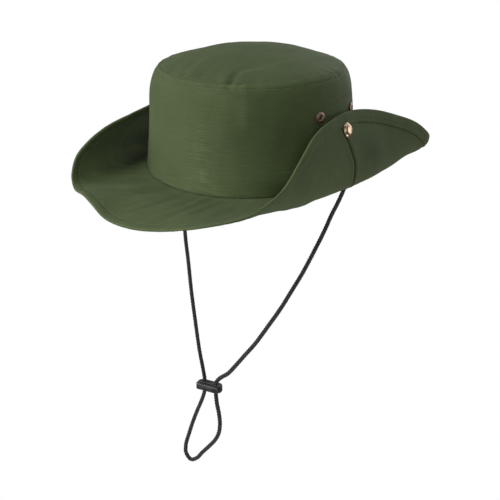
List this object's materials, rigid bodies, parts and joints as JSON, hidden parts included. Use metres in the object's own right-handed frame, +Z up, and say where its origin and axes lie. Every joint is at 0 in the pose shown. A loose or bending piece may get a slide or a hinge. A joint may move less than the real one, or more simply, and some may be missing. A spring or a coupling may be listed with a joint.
{
  "type": "safari hat with snapped-up side brims and chin cord",
  "caption": "Soft cotton safari hat: rounded flat-topped crown, wide brim with both sides turned up and snapped to the crown, and a chin cord with a sliding spring lock.",
  "frame": {"origin": "middle of the head opening, in the seam between crown and brim", "axes": "+Z up, the wearer faces -Y, +X to the wearer's left"},
  "size_m": [0.2226, 0.3314, 0.4311],
  "materials": {
    "olive_canvas": "matte woven cotton canvas",
    "snap_brass": "polished brass",
    "eyelet_copper": "antique copper",
    "black_cord": "twisted matte cord",
    "black_plastic": "moulded satin plastic"
  },
  "bodies": {
    "hat": {"crown_tip": "olive_canvas", "crown_side": "olive_canvas", "brim": "olive_canvas", "snap_cap_left": "snap_brass", "snap_cap_right": "snap_brass", "snap_stud_left": "snap_brass", "snap_stud_right": "snap_brass", "eyelet_left_front": "eyelet_copper", "eyelet_left_rear": "eyelet_copper", "eyelet_right_front": "eyelet_copper", "eyelet_right_rear": "eyelet_copper", "cord_anchor_left": "olive_canvas", "cord_anchor_right": "olive_canvas", "chin_cord": "black_cord", "cord_lock_shell": "black_plastic"},
    "lock_button": {"cord_lock_button": "black_plastic"}
  },
  "joints": [
    {"name": "lock_button_slide", "type": "slide", "parent": "hat", "child": "lock_button", "axis": [0, 1, 0], "range_m": [0, 0.001], "stiffness_N_per_m": 300}
  ]
}
